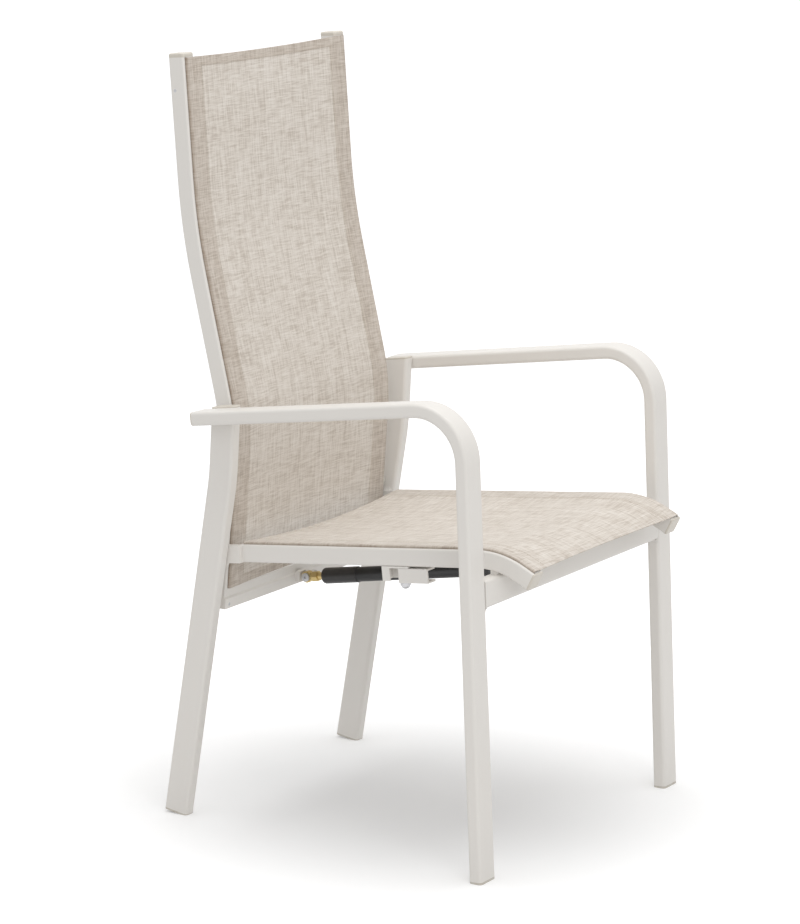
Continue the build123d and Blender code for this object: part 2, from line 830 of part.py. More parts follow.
def spring_sleeve():
    """Moulded sleeve pressed over the rear of the cylinder."""
    outer = cylinder_diameter + 2 * sleeve_wall
    body = rod(outer, sleeve_length)
    body = fillet(body.edges().group_by(Axis.Z)[0], sleeve_rounding)
    body = chamfer(body.edges().group_by(Axis.Z)[-1], sleeve_wall / 2)
    inside = rod(cylinder_diameter, sleeve_length)
    inside = fillet(inside.edges().group_by(Axis.Z)[0], cylinder_rounding)
    hole = Pos(0, 0, -sleeve_length / 2) * rod(neck_diameter, sleeve_length)
    return spring_frame(cylinder_start) * (Pos(0, 0, -sleeve_wall) * body - inside - hole)


def spring_gland():
    """Guide and seal that close the front of the cylinder."""
    inner = cylinder_diameter - 2 * cylinder_wall
    body = rod(inner, gland_depth) + Pos(0, 0, gland_depth) * rod(cylinder_diameter, gland_lip)
    lip_edges = body.edges().group_by(Axis.Z)[-1]
    body = chamfer(lip_edges, gland_lip_inset)
    bore = rod(rod_diameter + 2 * rod_play, 2 * gland_depth)
    return spring_frame(cylinder_end - gland_depth) * (body - bore)


def spring_rod():
    """Piston rod with its piston."""
    shaft = spring_frame(piston_place) * rod(rod_diameter, spring_length - head_reach() - piston_place)
    inner = cylinder_diameter - 2 * cylinder_wall - 2 * rod_play
    return shaft + spring_frame(piston_place - piston_length) * rod(inner, piston_length)


def head_reach():
    """Distance from the front pin back to the end of the release head's collar."""
    return head_diameter / 2 + head_collar_length


def release_head():
    """Head on the rod with the wide front bore and the passage for the release pin."""
    half = head_width / 2
    disc = cross_frame(spring_front - Vector(half, 0, 0)) * rod(head_diameter, head_width)
    collar = spring_frame(spring_length - head_reach()) * rod(head_collar_diameter, head_reach())
    bore = spring_bore(spring_front, pivot_diameter + 2 * open_pivot_play, head_width + 2 * cut_overrun)
    passage = rod(release_pin_diameter + 2 * rod_play, head_collar_diameter)
    return disc + collar - bore - pin_frame() * Pos(0, 0, -cut_overrun) * passage


def pin_frame():
    """Plane on the right side of the head's collar, Z pointing across the chair into it."""
    spot = spring_eye + spring_dir * (spring_length - head_reach() + head_collar_length / 2)
    return cross_frame(spot - Vector(head_collar_diameter / 2, 0, 0))


def release_pin():
    """Pin that opens the spring's valve when it is pressed into the side of the head."""
    stem = Pos(0, 0, -release_pin_travel) * rod(release_pin_diameter, release_pin_length)
    button_place = -release_pin_travel - release_pin_head_depth - release_pin_diameter
    button = Pos(0, 0, button_place) * rod(release_pin_head, release_pin_head_depth)
    neck = Pos(0, 0, button_place) * rod(release_pin_diameter, release_pin_length)
    return pin_frame() * (stem + button + neck)


def spring_lug():
    """Lug on the crossbar: a base, and a cheek behind the eye."""
    face = crossbar_frame().x_dir * (-crossbar_depth / 2)
    root = meet(crossbar_middle() + face, stile_foot_dir, spring_eye, Vector(0, 1, 0))
    frame = Plane(origin=across(root, lug_near_x), x_dir=(1, 0, 0), z_dir=crossbar_frame().x_dir * -1)
    cheek_x = spring_x + eye_width / 2 + lug_play
    far_x = cheek_x + lug_cheek_depth
    low = (Align.MIN, Align.CENTER, Align.MIN)
    base = frame * Box(far_x - lug_near_x, lug_height, lug_base_depth, align=low)
    reach = root.Y - spring_eye.Y
    cheek_frame = Plane(origin=across(root, cheek_x), x_dir=(1, 0, 0), z_dir=frame.z_dir)
    cheek = cheek_frame * Box(lug_cheek_depth, lug_height, reach, align=low)
    nose = cross_frame(across(spring_eye, cheek_x)) * rod(lug_height, lug_cheek_depth)
    hole = cross_frame(across(spring_eye, cheek_x - cut_overrun)) * rod(pivot_diameter, 2 * lug_height)
    swing = spring_bore(spring_eye, eye_diameter + 2 * lug_play, eye_width + 2 * lug_play)
    return base + cheek + nose - hole - swing


def eye_pin():
    """Shoulder bolt through the eye and the lug, with its nut behind."""
    near = spring_x - eye_width / 2 - lug_play
    far = spring_x + eye_width / 2 + lug_play + lug_cheek_depth
    return cross_bolt(spring_eye, near, far, pivot_diameter)


def cross_bolt(point, near, far, diameter):
    """Bolt across the chair between two faces, with a socket head and a nut."""
    shank = cross_frame(across(point, near)) * rod(diameter, far + nut_depth - near)
    head_frame = cross_frame(across(point, near - fastener_head_depth))
    head = head_frame * rod(fastener_head_diameter, fastener_head_depth)
    socket = head_frame * hex_bar(fastener_socket, fastener_socket_depth)
    nut = cross_frame(across(point, far)) * hex_bar(nut_size, nut_depth)
    return shank + head + nut - socket


def fork_edge():
    """Half the inner width of the front fork."""
    return head_width / 2 + fork_play


def front_fork():
    """Fork on the rear face of the front cross tube."""
    tube_frame = front_tube_frame()
    rearward = tube_frame.x_dir
    face = tube_frame.origin + rearward * (tube_depth / 2)
    root = meet(face, front_leg_dir, spring_front, Vector(0, 1, 0))
    width = 2 * (fork_edge() + fork_thickness)
    frame = Plane(origin=across(root, spring_x), x_dir=(1, 0, 0), z_dir=rearward)
    rearwards = (Align.CENTER, Align.CENTER, Align.MIN)
    fork = frame * Box(width, fork_height, fork_base_depth, align=rearwards)
    reach = spring_front.Y - root.Y
    for side in (-1, 1):
        middle = side * (fork_edge() + fork_thickness / 2)
        cheek = frame * Pos(middle, 0, reach / 2) * Box(fork_thickness, 2 * fork_nose, reach)
        start = spring_x + middle - fork_thickness / 2
        nose = cross_frame(across(spring_front, start)) * rod(2 * fork_nose, fork_thickness)
        fork += cheek + nose
    hole = spring_bore(spring_front, pivot_diameter, 2 * width)
    room_diameter = head_diameter + 2 * open_pivot_play + fork_play
    room = spring_bore(spring_front, room_diameter, head_width + 2 * fork_play)
    return fork - hole - room


def front_pin():
    """Bolt through the front fork."""
    half = fork_edge() + fork_thickness
    return cross_bolt(spring_front, spring_x - half, spring_x + half, pivot_diameter)


def lever_frame():
    """Plane under the right rail at the lever's pivot: X to the left, Y to the rear, Z up."""
    return rail_frame(lever_pivot_y, -half_seat + lever_pivot_inset, -half_edge)


def low_box(x_from, x_to, y_from, y_to, z_from, z_to):
    """Box between named limits."""
    size = Box(x_to - x_from, y_to - y_from, z_to - z_from, align=(Align.MIN, Align.MIN, Align.MIN))
    return Pos(x_from, y_from, z_from) * size


def lever_bracket():
    """Welded bracket: a plate under the rail and a channel that hangs behind the lever."""
    near = -lever_pivot_inset
    far = near + edge_size
    rear = hanger_rear_reach
    t = hanger_thickness
    front = rear - hanger_channel_depth
    plate = low_box(near, far, -hanger_front_reach, rear, -t, 0)
    channel = low_box(near, far, front, rear, -hanger_drop, 0)
    hollow = low_box(near + t, far - t, front - cut_overrun, rear - t, -hanger_drop - cut_overrun, -t)
    bracket = plate + (channel - hollow)
    hole = Pos(0, 0, -t - cut_overrun) * rod(lever_stud_diameter, t + 2 * cut_overrun)
    return lever_frame() * (bracket - hole)


def lever_top():
    """Top of the lever, below the bracket's plate."""
    return -hanger_thickness - lever_top_gap


def release_lever():
    """Formed channel lever with its ends rounded about the pivot."""
    near = -lever_pivot_inset
    far = near + lever_flange_width
    top = lever_top()
    low = top - lever_height
    t = lever_thickness
    body = low_box(near, far, -lever_front_reach, lever_rear_reach, low, top)
    upright = body.edges().filter_by(Axis.Z)
    body = fillet(upright.sort_by(Axis.Y)[-2:], lever_rear_reach / 2)
    body = fillet(body.edges().filter_by(Axis.Z).sort_by(Axis.Y)[:2], lever_corner)
    hollow = low_box(near + t, far + cut_overrun, -lever_front_reach - cut_overrun,
                     lever_rear_reach + cut_overrun, low + t, top - t)
    bore = rod(lever_stud_diameter + 2 * lever_stud_play, lever_height + 2 * cut_overrun)
    return lever_frame() * (body - hollow - Pos(0, 0, low - cut_overrun) * bore)


def lever_stud():
    """Stud welded into the bracket's plate, on which the lever turns."""
    length = lever_height + lever_top_gap + hanger_thickness + dome_gap + dome_hex_depth
    return lever_frame() * Pos(0, 0, -length) * rod(lever_stud_diameter, length)


def dome_nut():
    """Domed nut under the lever."""
    top = lever_top() - lever_height - dome_gap
    hex_part = Pos(0, 0, top - dome_hex_depth) * hex_bar(dome_size, dome_hex_depth)
    radius = dome_size / 2
    dome_depth = dome_height - dome_hex_depth
    ball = Pos(0, 0, top - dome_hex_depth) * scale(Sphere(radius), (1, 1, dome_depth / radius))
    keep = low_box(-radius, radius, -radius, radius, top - dome_height, top - dome_hex_depth)
    nut = hex_part + (ball & keep)
    return lever_frame() * (nut - Pos(0, 0, top - dome_hex_depth) * rod(lever_stud_diameter, dome_hex_depth))


def make_sides():
    """The pieces that come in a right and a left copy."""
    makers = {
        "arm_leg_tube": arm_leg_tube,
        "rear_leg": drilled_rear_leg,
        "seat_rail": seat_rail,
        "rear_bracket": rear_bracket,
        "armrest_plug": armrest_plug,
        "leg_top_plug": leg_top_plug,
        "front_glide": front_glide,
        "rear_glide": rear_glide,
        "rail_cap": rail_cap,
        "leg_insert": leg_insert,
        "pivot_bolt": pivot_bolt,
        "back_stile": drilled_stile,
        "stile_cap": stile_cap,
        "crossbar_plug": crossbar_plug,
        "pivot_bush": pivot_bush,
    }
    for name, make in makers.items():
        for hand, side in sides.items():
            save(hand + "_" + name, make(side))


def make_singles():
    """The pieces of which there is one, or one group."""
    makers = {
        "front_cross_tube": front_cross_tube,
        "rear_cross_tube": rear_cross_tube,
        "frame_welds": frame_welds,
        "seat_sling": seat_sling,
        "back_sling": back_sling,
        "lower_crossbar": lower_crossbar,
        "crossbar_screws": crossbar_screws,
        "spreader_bar": spreader_bar,
        "spreader_screws": spreader_screws,
        "spring_lug": spring_lug,
        "eye_pin": eye_pin,
        "spring_eye": eye_fitting,
        "spring_lock_nut": lock_nut,
        "spring_cylinder": spring_cylinder,
        "spring_sleeve": spring_sleeve,
        "spring_gland": spring_gland,
        "spring_rod": spring_rod,
        "release_head": release_head,
        "release_pin": release_pin,
        "front_fork": front_fork,
        "front_pin": front_pin,
        "lever_bracket": lever_bracket,
        "release_lever": release_lever,
        "lever_stud": lever_stud,
        "dome_nut": dome_nut,
    }
    for name, make in makers.items():
        save(name, make())
    save("seat_keder_cords", keder_cords(seat_path(), 1))
    save("back_keder_cords", keder_cords(back_path(), -1))


os.makedirs("parts", exist_ok=True)
make_sides()
make_singles()
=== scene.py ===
"""Reclining garden armchair: woven slings, stitching, coated tube and fittings in a pale studio."""

import json
import math

import bpy
import numpy as np
from bpy.props import FloatProperty, FloatVectorProperty, IntProperty, PointerProperty
from mathutils import Matrix, Vector


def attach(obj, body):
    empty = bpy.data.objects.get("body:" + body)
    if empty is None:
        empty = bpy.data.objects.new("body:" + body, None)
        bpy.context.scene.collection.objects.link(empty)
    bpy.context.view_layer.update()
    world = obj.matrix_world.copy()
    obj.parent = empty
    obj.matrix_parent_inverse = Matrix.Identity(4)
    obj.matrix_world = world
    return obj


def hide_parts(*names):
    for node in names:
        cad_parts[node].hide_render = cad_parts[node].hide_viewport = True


bl_info = {
    "name": "Reclining garden armchair",
    "version": (1, 0, 0),
    "blender": (4, 5, 0),
    "location": "3D View > Sidebar > Armchair",
    "description": "Dresses a reclining garden armchair with slings, stitching and finishes",
    "category": "Add Mesh",
}

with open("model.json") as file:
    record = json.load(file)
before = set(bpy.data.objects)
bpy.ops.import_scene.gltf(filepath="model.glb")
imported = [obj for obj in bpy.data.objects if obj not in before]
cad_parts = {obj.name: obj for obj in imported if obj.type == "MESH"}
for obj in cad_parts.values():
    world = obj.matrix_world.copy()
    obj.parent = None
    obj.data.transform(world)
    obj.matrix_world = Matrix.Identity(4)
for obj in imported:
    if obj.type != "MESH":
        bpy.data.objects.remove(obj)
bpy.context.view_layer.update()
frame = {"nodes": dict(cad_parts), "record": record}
MM = 0.001

# Sizes of the extrusions and of the lines that carry the slings, as in the frame. Values with MM are in
# metres. Heights, places and runs without it are in millimetres, and the functions of the lines scale them.
EDGE_SIZE = 26 * MM
CHANNEL_INSET = 5 * MM
SLING_LIFT = 0.25 * MM
SEAT_OUTER = 214 * MM
BACK_OUTER = 209 * MM
RAIL_HEIGHT = 418.5
RAIL_SLOPE = math.radians(5.93)
RAIL_REAR_Y = 178.5
RAIL_CORNER_Y = -247.2
NOSE_DROP = math.radians(26.6)
NOSE_RUN = 53.9
RAIL_RADIUS = 125 * MM
STILE_CORNERS = ((225.3, 343.4), (207.9, 588.0), (271.9, 862.3), (289.75, 1104.7))
STILE_RADII = (300 * MM, 900 * MM)

# How the sheets are folded and divided into rows
LIP_DEPTH = 4.2 * MM
FOLD_RADIUS = 2.2 * MM
LIP_ROWS = 3
FOLD_ROWS = 7
EDGE_ROWS = 8
FOLD_END_MARK = 0.15
ROLL_EASE_SHARE = 0.75
FOLD_THINNING = 0.4
HEM_STEP = 0.4 * MM
HEM_MARGIN = 0.1 * MM
PROBE = 0.2 * MM
SHARE_TOLERANCE = 1e-6
SHARP_ANGLE = math.radians(50)

# Stitches
BEAD_RINGS = 6
RING_POINTS = 6
BEAD_LENGTH_SHARE = 0.74
BEAD_END_SHARE = 0.04
BEAD_LIFT_SHARE = 0.30
BEAD_DIP_SHARE = 0.55
SIDE_SEAM_INSET = 3 * MM
END_SEAM_INSET = 2.0 * MM
FRONT_SEAM_INSET = 7.5 * MM
SEAM_END_GAP = 3 * MM
SEAM_SIDE_GAP = 2 * MM

# Weave: widths and runs of the warp's and the weft's slubs in metres, and a seed for each
FINE_SLUBS = ((0.0014, 0.026, 1.3), (0.0014, 0.022, 5.7))
WIDE_SLUBS = ((0.0050, 0.075, 9.1), (0.0045, 0.060, 3.9))
BROAD_SLUBS = ((0.019, 0.16, 2.2), (0.017, 0.12, 7.4))
WIDE_SHARE = 0.40
BROAD_SHARE = 0.22
HEM_FINE_GAIN = 0.25
YARN_PITCH = 0.0011
DARK_TONE = 0.12
MIDDLE_TONE = 0.52
LIGHT_TONE = 0.90
# Painted shade: the hole strength and hole tint darken the gaps between the yarns, where shade falls.
HOLE_SHADE_STRENGTH = 0.55
HEM_STRENGTH = 0.80
# Painted shade: the fold strength and fold tint darken the sheet where it rolls over the mouth of its
# channel.
FOLD_SHADE_STRENGTH = 0.75
HOLE_SHADE_TINT = (0.20, 0.165, 0.135)
HEM_TINT = (0.80, 0.765, 0.735)
FOLD_SHADE_TINT = (0.55, 0.48, 0.42)

# Finishes: depths of the bumps, dulling by dust, and the dust and steel that no setting holds
BUMP_DEPTH = 0.1 * MM
WEAVE_DEPTH = 0.12 * MM
DUST_DULLING = 0.4
NOISE_MEAN = 0.5
DARK_DUST = (0.16, 0.15, 0.14)
YELLOW_DUST = (0.30, 0.20, 0.11)
METAL_DUST = (0.30, 0.28, 0.25)
ROD_STEEL = (0.66, 0.66, 0.66)

# Studio, in metres, but for the camera's sensor in millimetres
TOP_LAMP = {"place": (0.1, -0.2, 3.0), "target": (0.1, -0.1, 0.0), "size": 2.6}
SIDE_LAMP = {"place": (-2.4, -2.6, 2.0), "target": (0.0, 0.0, 0.5), "size": 2.0}
FLOOR_RADIUS = 60.0
FLOOR_HOLE = 0.0001
FLOOR_CORNERS = 64
# The floor's camera-only glow rises from the floor lift near the chair to the white lift far away: painted
# shade round the chair.
FLOOR_DARK_REACH = 0.10
FLOOR_WHITE_LIFT = 0.6
SENSOR_WIDTH = 36.0
VIEW_REACH = 100.0


# Settings that a user would change

def length(name, description, default, low=0.0, high=2.0):
    """A length in metres with its name, description and default."""
    return FloatProperty(name=name, description=description, default=default, min=low, max=high,
                         precision=4, unit="LENGTH")


def amount(name, description, default, **limits):
    """A plain number with its name, description, default and limits."""
    return FloatProperty(name=name, description=description, default=default, **limits)


def colour(name, description, default):
    """A linear colour with its name, description and default."""
    return FloatVectorProperty(name=name, description=description, default=default, size=3,
                               min=0.0, max=1.0, subtype="COLOR")


class SlingSettings(bpy.types.PropertyGroup):
    """Sizes of the two woven slings."""

    sheet: length("Sheet", "Thickness of one layer of the woven sheet", 0.0009)
    hem: length("Hem layer", "Thickness that a hem adds on the face", 0.0005)
    side_hem: length("Side hem", "Width of the double layer along each side", 0.038)
    end_hem: length("End hem", "Width of the double layer along each end", 0.0135)
    roll: length("Edge roll", "Height of the fold over the mouth of the channel", 0.0017)
    seat_sag: length("Seat sag", "How far the middle of the seat lies under its edges", 0.009)
    back_sag: length("Back sag", "How far the middle of the back lies behind its edges", 0.007)
    seat_hollow: length("Seat hollow", "How far the front edge is cut back in its middle", 0.009)
    back_hollow: length("Back hollow", "How far the top edge is cut down in its middle", 0.003)
    seat_band: amount("Seat band", "How much darker the seat's hems look", 0.15, min=0, max=1)
    back_band: amount("Back band", "How much darker the back's hems look", 1.0, min=0, max=1)
    stitch_pitch: length("Stitch pitch", "Distance from one stitch to the next", 0.0042)
    stitch_thread: length("Stitch thread", "Thickness of the sewing thread", 0.0007)
    rows_across: IntProperty(name="Rows across", description="Grid rows of the middle of a sling",
                             default=90, min=8)
    rows_along: IntProperty(name="Rows along", description="Grid rows along a sling", default=220, min=8)


class FinishSettings(bpy.types.PropertyGroup):
    """Colours of the chair's finishes."""

    coat: colour("Coat", "Powder coat of the tubes", (0.772, 0.744, 0.704))
    coat_dust: colour("Coat dust", "Dust that settles on the coat", (0.56, 0.50, 0.42))
    yarn_light: colour("Light yarn", "Palest yarn of the weave", (0.800, 0.752, 0.694))
    yarn_middle: colour("Middle yarn", "Common yarn of the weave", (0.705, 0.649, 0.582))
    yarn_dark: colour("Dark yarn", "Darkest slubs of the weave", (0.530, 0.465, 0.400))
    thread: colour("Thread", "Sewing thread", (0.60, 0.54, 0.46))
    cap: colour("Cap", "Cream moulded caps", (0.63, 0.585, 0.515))
    glide: colour("Glide", "Moulded glides of the feet", (0.60, 0.575, 0.52))
    cord: colour("Cord", "Cord that locks a sling into its channel", (0.70, 0.66, 0.58))
    black_coat: colour("Black coat", "Coat of the gas spring", (0.012, 0.012, 0.013))
    black_plastic: colour("Black plastic", "Sleeve of the gas spring", (0.026, 0.025, 0.025))
    yellow_zinc: colour("Yellow zinc", "Yellow plating of the eye and its nut", (0.62, 0.54, 0.42))
    bright_zinc: colour("Bright zinc", "Bright plating of bolts", (0.60, 0.60, 0.60))
    nylon: colour("Nylon", "Pivot bushes", (0.62, 0.60, 0.55))


class StageSettings(bpy.types.PropertyGroup):
    """Light, floor and camera."""

    world: amount("World", "Strength of the even light from all round", 0.66, min=0.0)
    top_lamp: amount("Top lamp", "Power of the lamp overhead", 36.0, min=0.0, unit="POWER")
    side_lamp: amount("Side lamp", "Power of the lamp at the chair's front right", 22.0, min=0.0,
                      unit="POWER")
    floor: colour("Floor", "Colour of the floor", (0.80, 0.80, 0.80))
    floor_lift: amount("Floor lift", "Light that the floor adds under the chair", 0.12, min=0.0)
    floor_reach: length("Floor reach", "Distance from the chair at which the floor is fully white", 0.95,
                        high=20.0)
    camera_place: FloatVectorProperty(name="Camera place", description="Where the camera stands", size=3,
                                      default=(-4.458, -2.7445, 1.619), subtype="TRANSLATION")
    camera_turn: amount("Camera turn", "Turn of the camera about the upright", math.radians(-57.953),
                        unit="ROTATION")
    camera_tilt: amount("Camera tilt", "How far the camera looks down", math.radians(11.896), unit="ROTATION")
    camera_lens: amount("Lens", "Focal length in millimetres on a 36 mm wide sensor", 165.66, min=10.0)


# Lines and surfaces

class BentLine:
    """A line in the side view made of straight runs joined by arcs, measured by the distance along it."""

    def __init__(self, corners, radii):
        """Each inner corner is rounded by an arc of its radius. The arc starts radius times the tangent of
        half the turn before the corner, and is radius times the turn long."""
        corners = np.array(corners, float)
        ways = np.diff(corners, axis=0)
        ways /= np.linalg.norm(ways, axis=1)[:, None]
        before, after = ways[:-1], ways[1:]
        crossed = before[:, 0] * after[:, 1] - before[:, 1] * after[:, 0]
        turns = np.arctan2(crossed, (before * after).sum(1))
        cut = np.array(radii) * np.tan(np.abs(turns) / 2)
        starts = np.vstack([corners[:1], corners[1:-1] + ways[1:] * cut[:, None]])
        ends = np.vstack([corners[1:-1] - ways[:-1] * cut[:, None], corners[-1:]])
        self.points, self.headings, self.bends, self.marks = [], [], [], [0.0]
        for i, way in enumerate(ways):
            heading = math.atan2(way[1], way[0])
            self._run(starts[i], heading, 0.0, np.linalg.norm(ends[i] - starts[i]))
            if i < len(turns):
                self._run(ends[i], heading, np.sign(turns[i]) / radii[i], radii[i] * abs(turns[i]))
        self.length = self.marks[-1]

    def _run(self, point, heading, bend, run):
        """Adds a straight run or an arc of one curvature to the line."""
        self.points.append(point)
        self.headings.append(heading)
        self.bends.append(bend)
        self.marks.append(self.marks[-1] + run)

    def at(self, distance):
        """Place and heading at distances along the line. On an arc of curvature k that starts with heading
        a, the heading after a run r is a + k r. The chord to that place is r sin(k r / 2) / (k r / 2) long
        and heads along a + k r / 2."""
        distance = np.asarray(distance, float)
        piece = np.clip(np.searchsorted(self.marks, distance, side="right") - 1, 0, len(self.points) - 1)
        start = np.array(self.points)[piece]
        heading = np.array(self.headings)[piece]
        bend = np.array(self.bends)[piece]
        run = distance - np.array(self.marks)[piece]
        half = bend * run / 2
        chord = run * np.sinc(half / np.pi)
        place = start + chord[..., None] * np.stack([np.cos(heading + half), np.sin(heading + half)], -1)
        return place, heading + bend * run


def grid_mesh(name, rows, loop=False, uv=None, marks=None):
    """Mesh of a grid of points, rows by columns. With loop, the columns close on themselves and both end
    rows are closed by a strip, so the surface is a closed shell. uv gives a map and marks gives point
    attributes."""
    count, across = rows.shape[:2]
    mesh = bpy.data.meshes.new(name)
    i = np.arange(count - 1)[:, None]
    j = np.arange(across if loop else across - 1)[None, :]
    k = (j + 1) % across
    here, ahead = i * across, (i + 1) * across
    quads = np.stack([here + j, here + k, ahead + k, ahead + j], -1).reshape(-1, 4)
    if loop:
        half = across // 2
        a = np.arange(half - 1)
        near = np.stack([a, across - 1 - a, across - 2 - a, a + 1], -1)
        last = (count - 1) * across
        far = np.stack([last + a, last + a + 1, last + across - 2 - a, last + across - 1 - a], -1)
        quads = np.vstack([quads, near, far])
    mesh.from_pydata(rows.reshape(-1, 3), [], quads)
    if uv is not None:
        layer = mesh.uv_layers.new(name="weave")
        corners = np.zeros(len(mesh.loops), np.int32)
        mesh.loops.foreach_get("vertex_index", corners)
        layer.data.foreach_set("uv", uv.reshape(-1, 2)[corners].astype(np.float32).ravel())
    for key, values in (marks or {}).items():
        layer = mesh.attributes.new(key, "FLOAT", "POINT")
        layer.data.foreach_set("value", values.astype(np.float32).ravel())
    mesh.shade_smooth()
    mesh.set_sharp_from_angle(angle=SHARP_ANGLE)
    return mesh


def place_piece(name, mesh, body, material, replaced=()):
    """Puts a mesh in the scene as a piece that rides on a body and takes its slot and material."""
    piece = bpy.data.objects.new(name, mesh)
    bpy.context.scene.collection.objects.link(piece)
    mesh.materials.append(material)
    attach(piece, body)
    if replaced:
        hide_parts(*replaced)
    return piece


def seat_line():
    """Middle line of the seat rails from the rear edge of the seat sling to its front, in y and z."""
    rear, corner = (np.array([y, RAIL_HEIGHT - y * math.tan(RAIL_SLOPE)]) * MM
                    for y in (RAIL_REAR_Y, RAIL_CORNER_Y))
    nose = corner + np.array([-math.cos(NOSE_DROP), -math.sin(NOSE_DROP)]) * NOSE_RUN * MM
    return BentLine([rear, corner, nose], [RAIL_RADIUS])


def back_line():
    """Middle line of the back stiles from the lower edge of the back sling to its top, in y and z."""
    return BentLine(np.array(STILE_CORNERS) * MM, STILE_RADII)


class Sling:
    """A woven sheet stretched between two extrusions, over a middle line and sagging between them."""

    def __init__(self, line, outer, face, sag, hollow, band, settings):
        """Outer is how far the extrusion's outside lies from the middle of the chair. Face is 1 where the
        sheet lies left of its line and -1 where it lies right, seen along the line with y to the right."""
        self.line, self.face, self.sag, self.hollow = line, face, sag, hollow
        self.band, self.set = band, settings
        self.slot = outer - CHANNEL_INSET
        self.inner = outer - EDGE_SIZE
        self.rest_height = EDGE_SIZE / 2 + SLING_LIFT

    def half_profile(self):
        """Distances across and heights of the sheet's middle layer on one side, from the channel to the
        centre: up out of the slot, over a rounded fold, along the extrusion, then a parabola of the sag."""
        s = self.set
        low = self.rest_height - LIP_DEPTH
        crest = self.rest_height + s.sheet / 2 + s.hem / 2 + s.roll
        turn = np.linspace(0, np.pi / 2, FOLD_ROWS)
        fold_x = self.slot - FOLD_RADIUS * (1 - np.cos(turn))
        fold_h = crest - FOLD_RADIUS + FOLD_RADIUS * np.sin(turn)
        rise = np.linspace(low, fold_h[0], LIP_ROWS + 1)[:-1]
        run_x = np.linspace(fold_x[-1], self.inner, EDGE_ROWS)[1:]
        ease = (fold_x[-1] - run_x) / (fold_x[-1] - self.inner)
        run_h = crest - (s.roll * ROLL_EASE_SHARE) * ease * ease * (3 - 2 * ease)
        hem_x = self.slot - s.side_hem
        even = np.linspace(0, self.inner, s.rows_across // 2)
        span = np.unique(np.concatenate([even, [hem_x, hem_x - HEM_STEP]]))
        span = span[span < self.inner - HEM_MARGIN][::-1]
        share = span / self.inner
        middle_h = run_h[-1] - self.sag * (1 - share ** 2)
        x = np.concatenate([np.full(len(rise), self.slot), fold_x, run_x, span])
        h = np.concatenate([rise, fold_h, run_h, middle_h])
        folds = np.concatenate([np.ones(len(rise)), np.linspace(1, FOLD_END_MARK, len(fold_x)),
                                np.zeros(len(run_x) + len(span))])
        return x, h, folds

    def profile(self):
        """The whole middle layer from the right channel to the left one."""
        x, h, folds = self.half_profile()
        return (np.concatenate([-x, x[::-1][1:]]), np.concatenate([h, h[::-1][1:]]),
                np.concatenate([folds, folds[::-1][1:]]))

    def steps(self):
        """Shares of the length, with a pair of rows at each end hem's edge."""
        hem = self.set.end_hem / self.line.length
        gap = HEM_STEP / self.line.length
        extra = [hem, hem + gap, 1 - hem, 1 - hem - gap]
        return np.unique(np.concatenate([np.linspace(0, 1, self.set.rows_along), extra]))

    def points(self, x, height, share):
        """Places on the sheet: x across, a height off the middle line, and a share of the length, which
        shortens towards the middle by the hollow of the end edge, as the square of the distance across."""
        inside = np.clip(np.abs(x) / self.inner, 0, 1)
        reach = self.line.length - self.hollow * (1 - inside ** 2)
        distance = share * reach
        place, heading = self.line.at(distance)
        up = np.stack([-np.sin(heading), np.cos(heading)], -1) * self.face
        side = place + up * height[..., None]
        return np.stack([x + 0 * distance, side[..., 0], side[..., 1]], -1), distance

    def hem_mark(self, x, share):
        """1 on the doubled edges and 0 on the single sheet."""
        hem = self.set.end_hem / self.line.length
        side = np.abs(x) >= self.slot - self.set.side_hem - HEM_MARGIN
        end = (share <= hem + SHARE_TOLERANCE) | (share >= 1 - hem - SHARE_TOLERANCE)
        return (side | end).astype(float)

    def round_shell(self, face_values, back_values):
        """Values of the face and of the back in the order of the shell's columns."""
        values = np.concatenate([face_values, back_values[:, ::-1]], 1)
        return values[:, ::-1] if self.face > 0 else values

    def shell(self, name):
        """The sheet as a closed shell: the middle layer moved half a thickness to its back, and to its face
        by half a thickness and the hem."""
        s = self.set
        x, h, folds = self.profile()
        tangent = np.stack([np.gradient(x), np.gradient(h)], -1)
        tangent /= np.linalg.norm(tangent, axis=1)[:, None]
        normal = np.stack([-tangent[:, 1], tangent[:, 0]], -1)
        share = self.steps()[:, None]
        hem = self.hem_mark(x[None, :], share)
        thick = s.sheet / 2 + s.hem * hem * (1 - folds[None, :] * FOLD_THINNING)
        top_x, top_h = x + normal[:, 0] * thick, h + normal[:, 1] * thick
        low_x = x - normal[:, 0] * s.sheet / 2 + 0 * share
        low_h = h - normal[:, 1] * s.sheet / 2 + 0 * share
        top, run = self.points(top_x, top_h, share)
        low, _ = self.points(low_x, low_h, share)
        girth = np.concatenate([[0], np.cumsum(np.hypot(np.diff(x), np.diff(h)))])
        girth = girth - girth[-1] / 2
        uv = np.stack([girth[None, :] + 0 * run, run], -1)
        # The fold mark carries a painted shade on the roll over the channel into the colour.
        hem_tone, fold_shade_mark = hem * self.band + 0 * run, folds[None, :] + 0 * run
        marks = {"hem": self.round_shell(hem_tone, hem_tone), "fold": self.round_shell(fold_shade_mark, fold_shade_mark)}
        self.flat = (float(girth[-1] - girth[0]), float(self.line.length))
        rows = self.round_shell(top, low)
        return grid_mesh(name, rows, loop=True, uv=self.round_shell(uv, uv), marks=marks)

    def on_face(self, x, share):
        """Places on the face of the sheet, with the ways across and along it."""
        profile_x, profile_h, _ = self.profile()
        profile_x, profile_h = profile_x[LIP_ROWS:-LIP_ROWS], profile_h[LIP_ROWS:-LIP_ROWS]
        thick = self.set.sheet / 2 + self.set.hem * self.hem_mark(x, share)

        def spot(spot_x, spot_share):
            return self.points(spot_x, np.interp(spot_x, profile_x, profile_h) + thick, spot_share)[0]

        here = spot(x, share)
        beside = spot(x + PROBE, share)
        ahead = spot(x, share + PROBE / self.line.length)
        across = (beside - here) / np.linalg.norm(beside - here, axis=-1, keepdims=True)
        along = (ahead - here) / np.linalg.norm(ahead - here, axis=-1, keepdims=True)
        return here, across, along


